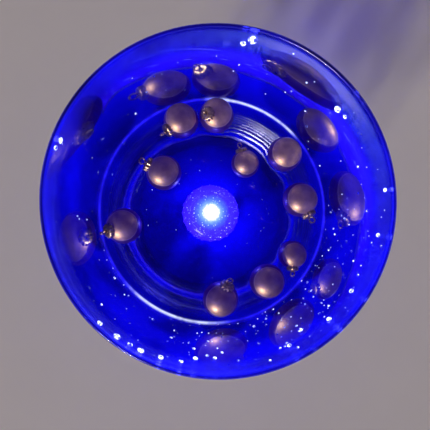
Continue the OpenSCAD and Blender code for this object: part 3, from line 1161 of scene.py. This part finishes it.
    def lamp_light(self, spot: Vector, floats: Sequence["Bauble"]) -> float:
        """Works out the painted lamp light at a point of the glass, with painted shadows of the
        baubles.

        Args:
            spot: The point, in millimetres.
            floats: The baubles.

        Returns:
            The painted light's level: 0 on the wall's outside and the foot, and most by the lamp.
        """
        r, bulb = math.hypot(spot.x, spot.y), Vector((0, 0, self.bulb_z))
        if self.outward(r, spot.z):
            return 0.0
        if spot.z > self.water_z + self.skin:
            out = self.bend(r, spot.z)
            turn = Vector((spot.x * out / r, spot.y * out / r, self.water_z))
            runs = [(bulb, turn), (turn, spot)]
            climb = (spot.z - self.water_z) / (self.lip_z - self.water_z)
            level = self.wall_light[0] + self.wall_light[1] * math.sin(math.pi * climb)
            level *= self.near_light[0] - self.near_light[1] * spot.y / r
        else:
            runs = [(bulb, spot)]
            near = math.exp((self.floor_far - (spot - bulb).length) / self.floor_fall)
            level = max(self.painted_low_light, self.floor_light * near)
        dark, clear = self.shadow
        for f in floats:
            by = min(self._pass_by(start, end, f.middle) for start, end in runs) / f.r
            level *= min(1.0, max(0.0, (by - dark) / (clear - dark)))
        return level

    @staticmethod
    def _pass_by(start: Vector, end: Vector, middle: Vector) -> float:
        """Finds how close a straight run passes by a point.

        Args:
            start: The run's start.
            end: The run's end.
            middle: The point.

        Returns:
            The least distance.
        """
        run = end - start
        share = min(1.0, max(0.0, (middle - start).dot(run) / run.length_squared))
        return (start + run * share - middle).length

    def lip_drops(self) -> bpy.types.Mesh:
        """Makes the few large drops that hang below the lip, drawn out down the wall.

        Returns:
            The drops as one mesh.
        """
        shape = bmesh.new()
        for bearing, z, size in self.hanging:
            turn = Matrix.Rotation(math.radians(bearing), 4, "Z")
            spot = Matrix.Translation(Vector((self.wall_r(z), 0, z)) * MM)
            form = Matrix.Diagonal((*(size * share for share in self.run_form), 1))
            bmesh.ops.create_icosphere(shape, subdivisions=2, radius=MM, matrix=turn @ spot @ form)
        mesh = bpy.data.meshes.new("lip_drops")
        shape.to_mesh(mesh)
        shape.free()
        mesh.materials.append(self.runs.material())
        smooth(mesh)
        return mesh

    def build(self, turner: Turner, beads: Beads, floats: Sequence["Bauble"]) -> None:
        """Makes the glass with painted lamp light and bauble shadows kept at its points, and the
        drops on its wet wall.

        Args:
            turner: Turns the outlines.
            beads: Scatters the drops and bubbles.
            floats: The baubles, in place.
        """
        glass = turner.turn(self.outline(), self.finish, self.segments, crease=self.crease)
        mark(glass, "lamp_light", lambda spot: self.lamp_light(spot, floats))
        place_piece("glass_wall", glass, "bowl", ["glass_bowl"])
        band = plain((self.wall_r(z), z) for z in spread(*self.drops_z, steps=8))
        wall = turner.turn(band, self.finish, segments=90)
        wall.flip_normals()
        drops = beads.scatter(wall, self.drops, density=5.0, sizes=(0.12, 0.72), height=0.6,
                              seed=11, bearing=-48.0, crowding=0.88)
        place_piece("wall_drops", drops, "bowl")
        place_piece("lip_drops", self.lip_drops(), "bowl")
        disc = plain((r, self.floor_t) for r in self.bubbles_r)
        floor = turner.turn(disc, self.finish, segments=60)
        specks = beads.scatter(floor, self.bubbles, density=1.6, sizes=(0.12, 0.42), height=0.9,
                               seed=5)
        place_piece("floor_bubbles", specks, "bowl")


@dataclass
class Bauble:
    """One floating bauble: a lacquered shell, a fluted crown cap and a wire hanging loop."""

    number: int
    share: float  # How far out it floats, as a share of its way to the wall.
    bearing: float  # The side where it floats. Angles are in degrees.
    heading: float  # The side that its cap points to.
    lift: float  # How far above level its cap points.
    roll: float  # Its turn on its own axis.
    size: BaubleSize = BaubleSize.LARGE
    ride: float = 2.5
    wall_gap: float = 0.5
    neck_r: float = 2.2
    neck_h: float = 0.9
    shell_steps: int = 48
    shell_segments: int = 72
    cap_h: float = 1.6
    cap_section: tuple[Ring, ...] = (
        (0.0, 0, 1.30), (0.75, 0, 1.32), (1.05, 0, 1.56), (1.7, 0, 1.60), (2.3, 0.05, 1.58),
        (2.85, 0.25, 1.44), (3.2, 0.7, 1.16), (3.36, 1, 0.75), (3.4, 1, 0.2), (3.42, 1, -0.35),
        (3.5, 1.05, -0.72), (3.4, 1.0, -0.92), (3.0, 0.4, -0.80), (2.9, 0, -0.2), (0.0, 0, -0.3))
    cap_segments: int = 120
    flute_n: int = 12
    flute_r: float = 0.45
    flute_sharp: float = 1.3
    wire_r: float = 0.35
    wire_sides: int = 12
    wire_crease: float = 60.0
    loop_r: float = 1.5
    loop_gap: float = 0.05
    loop_steps: int = 40
    leg_x: float = 0.42
    leg_z: Span = (0.2, 0.9)
    middle: Vector = field(init=False)
    pose: Matrix = field(init=False)

    def __post_init__(self) -> None:
        """Works out the bauble's radius, and its scale against a large one."""
        self.r = self.size.value / 2
        self.k = self.size.value / BaubleSize.LARGE.value

    def settle(self, bowl: Bowl) -> None:
        """Finds the bauble's place from the bowl that it floats in.

        Args:
            bowl: The bowl.
        """
        z = bowl.water_z + self.ride * self.k
        reach = self.share * (bowl.wall_r(z) - self.r - self.wall_gap)
        a = math.radians(self.bearing)
        self.middle = Vector((reach * math.cos(a), reach * math.sin(a), z))
        self.pose = Matrix.Translation(self.middle * MM)
        for angle, axis in ((self.heading, "Z"), (90 - self.lift, "Y"), (self.roll, "Z")):
            self.pose = self.pose @ Matrix.Rotation(math.radians(angle), 4, axis)

    def shell(self, turner: Turner, finish: Finish) -> bpy.types.Mesh:
        """Makes the shell, with each point's height above the middle kept for its lacquer.

        Args:
            turner: Turns the outline.
            finish: The lacquer.

        Returns:
            The shell's mesh, in place.
        """
        neck_r, top = self.neck_r * self.k, self.r + self.neck_h * self.k
        arc = spread(math.asin(neck_r / self.r), math.pi, self.shell_steps)
        ball = [(self.r * math.sin(a), self.r * math.cos(a)) for a in arc]
        mesh = turner.turn(plain([(0.0, top), (neck_r, top)] + ball), finish, self.shell_segments)
        mesh.transform(self.pose)
        mark(mesh, "height_share", lambda spot: (spot.z - self.middle.z) / self.r)
        return mesh

    def crown(self, turner: Turner, finish: Finish) -> bpy.types.Mesh:
        """Makes the stamped cap: a dished top, a rolled shoulder and a fluted skirt.

        Args:
            turner: Turns the outline.
            finish: The cap's metal.

        Returns:
            The cap's mesh, in place.
        """
        rings = [(r * self.k, share, self.r + z * self.k) for r, share, z in self.cap_section]
        mesh = turner.turn(rings, finish, self.cap_segments, self.flute_n,
                           self.flute_r * self.k, self.flute_sharp)
        mesh.transform(self.pose)
        return mesh

    def loop(self, finish: Finish) -> bpy.types.Mesh:
        """Makes the hanging loop: two legs that rise into one round eye.

        Args:
            finish: The wire's metal.

        Returns:
            The loop's mesh, in place.
        """
        eye = self.cap_h + self.loop_gap + self.loop_r + self.wire_r
        gap = math.asin(self.leg_x / self.loop_r)
        first = -math.pi / 2 - gap
        arc = spread(first, first - FULL_TURN + 2 * gap, self.loop_steps)
        path = [(-self.leg_x, z) for z in self.leg_z]
        path += [(self.loop_r * math.cos(a), eye + self.loop_r * math.sin(a)) for a in arc]
        path += [(self.leg_x, z) for z in reversed(self.leg_z)]
        scale = self.k * MM
        points, faces = tube([Vector((0, y, z)) * scale for y, z in path],
                             self.wire_r * scale, self.wire_sides)
        mesh = bpy.data.meshes.new("loop")
        mesh.from_pydata([p + Vector((0, 0, self.r * MM)) for p in points], [], faces)
        mesh.materials.append(finish.material())
        mesh.transform(self.pose)
        return tidy(mesh, self.wire_crease)

    def build(self, turner: Turner, lacquer: Finish, cap: Finish, wire: Finish) -> None:
        """Makes the bauble's three pieces on its own body.

        Args:
            turner: Turns the outlines.
            lacquer: The shell's finish.
            cap: The cap's finish.
            wire: The loop's finish.
        """
        tag = f"{self.number:02d}"
        for name, mesh, slot, node in (
                ("lacquered_ball_", self.shell(turner, lacquer), "bronze_lacquer", "ball_"),
                ("crown_cap_", self.crown(turner, cap), "gold_cap", "ball_cap_"),
                ("wire_loop_", self.loop(wire), "gold_wire", "hang_loop_")):
            place_piece(name + tag, mesh, "float_" + tag, [node + tag])


@dataclass
class Water:
    """The water: a skin that climbs the glass and the baubles, over a body that meets the bowl."""

    overlap: float = 0.25
    wall_rise: float = 2.2
    ball_rise: float = 0.35
    wall_reach: float = 2.2
    ball_reach: float = 1.1
    ball_line: float = 0.975  # A bauble's radius at the water, as a share of its full radius.
    segments: int = 240
    edge_rings: tuple[float, ...] = (0.0, 0.35, 0.75, 1.25, 1.9, 2.8, 4.0)
    edge_skip: float = 0.2
    ball_segments: int = 64
    ball_rings: tuple[float, ...] = (-1.5, -0.3, 0.1, 0.45, 0.95, 1.6, 2.5, 3.8)
    spacing: float = 2.2
    row_step: float = 0.866
    edge_clear: float = 5.0
    ball_clear: float = 4.0
    same_spot: float = 1e-4
    body_drop: float = 0.5
    heel_steps: int = 14
    wall_rows: int = 12
    crease: float = 50.0
    finish: DeepWater = DeepWater("deep_water")

    def height(self, bowl: Bowl, floats: Sequence[Bauble], x: float, y: float) -> float:
        """Gives the height of the water's skin at a point.

        Args:
            bowl: The bowl.
            floats: What floats in it.
            x: Place across.
            y: Place ahead.

        Returns:
            The height.
        """
        edge = bowl.wall_r(bowl.water_z) - math.hypot(x, y)
        rise = self.wall_rise * math.exp(-max(edge, 0.0) / self.wall_reach)
        for f in floats:
            off = math.hypot(x - f.middle.x, y - f.middle.y) - f.r * self.ball_line
            rise += self.ball_rise * f.k * math.exp(-max(off, 0.0) / self.ball_reach)
        return bowl.water_z + min(rise, self.wall_rise)

    def spots(self, bowl: Bowl, floats: Sequence[Bauble]) -> list[Vector]:
        """Lays out the skin's points: the edge, rings at the wall and baubles, then a grid.

        Args:
            bowl: The bowl.
            floats: What floats in it.

        Returns:
            The points, with those of the edge first.
        """
        edge = bowl.wall_r(bowl.water_z) + self.overlap
        spots = [p for off in self.edge_rings for p in circle(edge - off, self.segments)]
        for f in floats:
            for off in self.ball_rings:
                ring = f.r * self.ball_line + off
                spots += circle(ring, self.ball_segments, f.middle.x, f.middle.y)
        count = int(edge / self.spacing) + 1
        for i in range(-count, count + 1):
            for j in range(-count, count + 1):
                spot = Vector(((i + 0.5 * (j % 2)) * self.spacing,
                               j * self.spacing * self.row_step))
                clear = all((spot - f.middle.to_2d()).length > f.r + self.ball_clear
                            for f in floats)
                if spot.length < edge - self.edge_clear and clear:
                    spots.append(spot)
        inner = [s for s in spots[self.segments:] if s.length < edge - self.edge_skip]
        return spots[:self.segments] + inner

    def build(self, bowl: Bowl, floats: Sequence[Bauble]) -> None:
        """Makes the water as one closed mesh.

        Args:
            bowl: The bowl.
            floats: What floats in it.
        """
        flat, _, skin, origin, _, _ = delaunay_2d_cdt(
            self.spots(bowl, floats), [], [], 0, self.same_spot)
        points = [Vector((p.x, p.y, self.height(bowl, floats, p.x, p.y))) for p in flat]
        shown = {first: i for i, group in enumerate(origin) for first in group}
        upper = [shown[i] for i in range(self.segments)]
        faces = [tuple(f) for f in skin]
        after = [(i + 1) % self.segments for i in range(self.segments)]
        body = bowl.inside(self.overlap, bowl.water_z - self.body_drop,
                           self.heel_steps, self.wall_rows)
        for r, _, z in reversed(body[1:]):
            lower = [len(points) + i for i in range(self.segments)]
            points += [Vector((p.x, p.y, z)) for p in circle(r, self.segments)]
            faces += [(upper[i], lower[i], lower[j], upper[j]) for i, j in enumerate(after)]
            upper = lower
        points.append(Vector((0, 0, bowl.floor_t - self.overlap)))
        faces += [(upper[i], len(points) - 1, upper[j]) for i, j in enumerate(after)]
        mesh = bpy.data.meshes.new("water")
        mesh.from_pydata([p * MM for p in points], [], faces)
        mesh.materials.append(self.finish.material())
        tidy(mesh, self.crease)
        mark(mesh, "rise", lambda spot: max(0.0, spot.z - bowl.water_z) / self.wall_rise)
        place_piece("water_body", mesh, "bowl", ["water"])


@dataclass
class Lamp:
    """The sunken lamp: a lit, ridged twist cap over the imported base, cells and bulb."""

    lamp_r: float = 17.5
    cap_z: float = 11.3
    shoulder_z: float = 20.95
    rise_out: float = 9.3
    rise_in: float = 7.5
    bore_r: float = 15.7
    edge: float = 0.3
    dome_steps: int = 16
    grip_n: int = 20
    grip_out: float = 0.5
    grip_short: float = 0.8
    grip_end: Span = (0.1, 0.4)
    grip_sharp: float = 3.0
    segments: int = 240
    finish: LampGlow = LampGlow("lit_cap")
    # The cap's bubbles carry painted glints.
    bubbles: ClearDrop = ClearDrop("cap_bubbles", sparkle=2.4)
    bubbles_from: float = math.radians(9.0)
    bubbles_steps: int = 10
    dress: dict[str, Finish] = field(default_factory=lambda: {
        "lamp_base": Plastic("white_base", (0.74, 0.76, 0.82), (0.66, 0.68, 0.76), 0.4),
        "led_carrier": Plastic("white_disc", (0.80, 0.82, 0.86), (0.70, 0.72, 0.78), 0.5),
        "seal_ring": Plastic("black_rubber", (0.03, 0.03, 0.035), (0.06, 0.06, 0.065), 0.6),
        "battery_contact": BrushedMetal(
            "contact_brass", (0.72, 0.56, 0.30), (0.52, 0.38, 0.2), 0.3),
        "battery_lower": BrushedMetal("cell_nickel", (0.66, 0.66, 0.68), (0.5, 0.5, 0.53), 0.26),
        "battery_upper": BrushedMetal("cell_nickel", (0.66, 0.66, 0.68), (0.5, 0.5, 0.53), 0.26),
        "led_legs": BrushedMetal("tinned_leg", (0.70, 0.70, 0.72), (0.55, 0.55, 0.58), 0.22),
        "led_bulb": LitBulb("bulb_light")})

    def dome(self, start: float, steps: int) -> list[Ring]:
        """Draws the outside of the dome, from an angle above its shoulder to the top."""
        return plain((self.lamp_r * math.cos(a), self.shoulder_z + self.rise_out * math.sin(a))
                     for a in spread(start, math.pi / 2, steps))

    def cap_outline(self) -> list[Ring]:
        """Draws the cap's section, from the middle of its inside round its edge to the top.

        Returns:
            The outline.
        """
        hollow = [(self.bore_r * math.sin(a), self.shoulder_z + self.rise_in * math.cos(a))
                  for a in spread(0.0, math.pi / 2, self.dome_steps)]
        rim = [(self.bore_r, self.cap_z), (self.lamp_r - self.edge, self.cap_z),
               (self.lamp_r, self.cap_z + self.edge)]
        low, high = self.cap_z + self.grip_short, self.shoulder_z - self.grip_short
        before, after = self.grip_end
        grip = ((0.0, low - before), (1.0, low + after), (1.0, (low + high) / 2),
                (1.0, high - after), (0.0, high + before))
        skirt = [(self.lamp_r, share, z) for share, z in grip]
        return plain(hollow + rim) + skirt + self.dome(0.0, self.dome_steps)

    def build(self, turner: Turner, beads: Beads, nodes: dict[str, bpy.types.Object]) -> None:
        """Makes the cap and its bubbles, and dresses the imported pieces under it.

        Args:
            turner: Turns the outlines.
            beads: Scatters the bubbles.
            nodes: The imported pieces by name.
        """
        cap = turner.turn(self.cap_outline(), self.finish, self.segments, self.grip_n,
                          self.grip_out, self.grip_sharp)
        place_piece("lit_twist_cap", cap, "lamp_cap", ["lamp_lens"])
        dome = turner.turn(self.dome(self.bubbles_from, self.bubbles_steps), self.finish,
                           segments=60)
        bubbles = beads.scatter(dome, self.bubbles, density=12.0, sizes=(0.10, 0.40), height=0.8,
                                seed=3)
        place_piece("cap_bubbles", bubbles, "lamp_cap")
        for node, finish in self.dress.items():
            nodes[node].data.materials.clear()
            nodes[node].data.materials.append(finish.material())
            log.info("%s: dressed in %s", node, finish.name)


@dataclass
class Studio:
    """The pale floor, the panes of window light, the sky and the camera above the bowl."""

    eye: Point = (-11.33, -15.38, 260.0)
    look: Point = (0.0613, 0.0620, -1.0)
    near_clip: float = 0.01
    frame_px: float = 430.0
    focal_px: float = 367.1
    sensor: float = 36.0
    floor_half: float = 6.0
    floor_drop: float = 0.2
    floor_finish: PaleFloor = PaleFloor("pale_floor")
    sky: Stops = (
        (0.0, (0.44, 0.44, 0.46)), (0.10, (0.50, 0.50, 0.54)), (0.28, (0.09, 0.07, 0.13)),
        (1.0, (0.03, 0.01, 0.06)))
    panes: tuple[float, ...] = (-130.2, -128.6, -122.0, -120.5, -119.0, -112.6)
    pane_rise: float = 0.30
    pane_width: float = 1.5
    pane_strength: float = 0.5
    pane_colour: Colour = (1.0, 0.87, 0.63)

    def build(self) -> None:
        """Makes the camera, the floor, the sky and the panes."""
        self._camera()
        self._floor()
        self._sky()
        for number, bearing in enumerate(self.panes, 1):
            self._pane(f"pane_{number}", math.radians(bearing))

    def _camera(self) -> None:
        """Makes the camera, with +Y up in the picture."""
        data = bpy.data.cameras.new("eye")
        data.sensor_width, data.lens = self.sensor, self.focal_px / self.frame_px * self.sensor
        data.clip_start = self.near_clip
        back = -Vector(self.look).normalized()
        up = (Vector((0, 1, 0)) - back * back.y).normalized()
        turn = Matrix((up.cross(back), up, back)).transposed().to_4x4()
        camera = add_object("eye", data)
        camera.matrix_world = Matrix.Translation(Vector(self.eye) * MM) @ turn
        bpy.context.scene.camera = camera

    def _floor(self) -> None:
        """Makes the floor just under the foot."""
        mesh = bpy.data.meshes.new("floor")
        half, z = self.floor_half, -self.floor_drop * MM
        corners = [(-half, -half, z), (half, -half, z), (half, half, z), (-half, half, z)]
        mesh.from_pydata(corners, [], [(0, 1, 2, 3)])
        mesh.materials.append(self.floor_finish.material())
        add_object("floor", mesh)

    def _sky(self) -> None:
        """Makes a studio dome that is pale at the horizon and dim overhead."""
        world = bpy.data.worlds.new("studio")
        world.use_nodes = True
        world.node_tree.nodes.clear()
        book = NodeBook(world.node_tree)
        _, _, up = book.axes(book.node("ShaderNodeTexCoord")["Generated"])
        shade = book.node("ShaderNodeBackground", {}, {
            "Color": book.ramp(up, self.sky), "Strength": 1.0})[0]
        book.node("ShaderNodeOutputWorld", {}, {"Surface": shade})
        bpy.context.scene.world = world

    def _pane(self, name: str, bearing: float) -> None:
        """Makes one pane of window light, far enough away to light the floor evenly.

        Args:
            name: The light's name.
            bearing: The side from which it shines, in radians.
        """
        data = bpy.data.lights.new(name, "SUN")
        data.angle, data.energy = math.radians(self.pane_width), self.pane_strength
        data.color = self.pane_colour
        toward = Vector((math.cos(bearing), math.sin(bearing), self.pane_rise))
        pane = add_object(name, data)
        pane.location = toward.normalized()
        pane.rotation_euler = toward.to_track_quat("Z", "Y").to_euler()


def set_afloat(bowl: Bowl, pair_bearing: float = 99.5, pair_gap: float = 0.8) -> list[Bauble]:
    """Sets the ten baubles afloat, the first two side by side at the wall.

    Args:
        bowl: The bowl that they float in.
        pair_bearing: The bearing of the gap between the first two, in degrees.
        pair_gap: The gap's width.

    Returns:
        The baubles, in place.
    """
    across, small = BaubleSize.LARGE.value, BaubleSize.SMALL
    reach = bowl.wall_r(bowl.water_z + Bauble.ride) - across / 2 - Bauble.wall_gap
    half = math.degrees(math.asin((across + pair_gap) / 2 / reach))
    floats = [  # Number, share, bearing, heading, lift, roll and size.
        Bauble(1, 1.0, pair_bearing + half, 221, 14, 55),
        Bauble(2, 1.0, pair_bearing - half, 198, 55, 20),
        Bauble(3, 0.965, 37.8, 0, -90, 0), Bauble(4, 0.57, 55.3, 109, 14, 25, small),
        Bauble(5, 0.93, 6.3, 296, 14, 0), Bauble(6, 0.935, -30.1, 265, 16, 40, small),
        Bauble(7, 0.945, -53.7, 30, -90, 0), Bauble(8, 0.945, -85.8, 67, 30, 15),
        Bauble(9, 0.95, 191, 204, 42, 60), Bauble(10, 0.648, 144.4, 154, 16, 0)]
    for bauble in floats:
        bauble.settle(bowl)
    return floats


def main() -> None:
    """Builds the scene piece by piece and reports each one."""
    logging.basicConfig(level=logging.INFO, format="%(name)s %(message)s")
    bpy.context.scene.view_settings.view_transform = "Standard"
    Studio().build()
    turner, beads, bowl = Turner(), Beads(), Bowl()
    floats = set_afloat(bowl)
    lacquer = BronzeLacquer("bauble_bronze")
    cap = BrushedMetal("stamped_gold", (0.74, 0.56, 0.36), (0.55, 0.39, 0.26), 0.3,
                       pull=(1.0, 1.0, 1.0))
    wire = BrushedMetal("loop_gold", (0.76, 0.60, 0.40), (0.58, 0.43, 0.28), 0.26,
                        pull=(1.0, 1.0, 1.0))
    for bauble in floats:
        bauble.build(turner, lacquer, cap, wire)
    bowl.build(turner, beads, floats)
    Water().build(bowl, floats)
    Lamp().build(turner, beads, frame["nodes"])


if __name__ == "__main__":
    main()
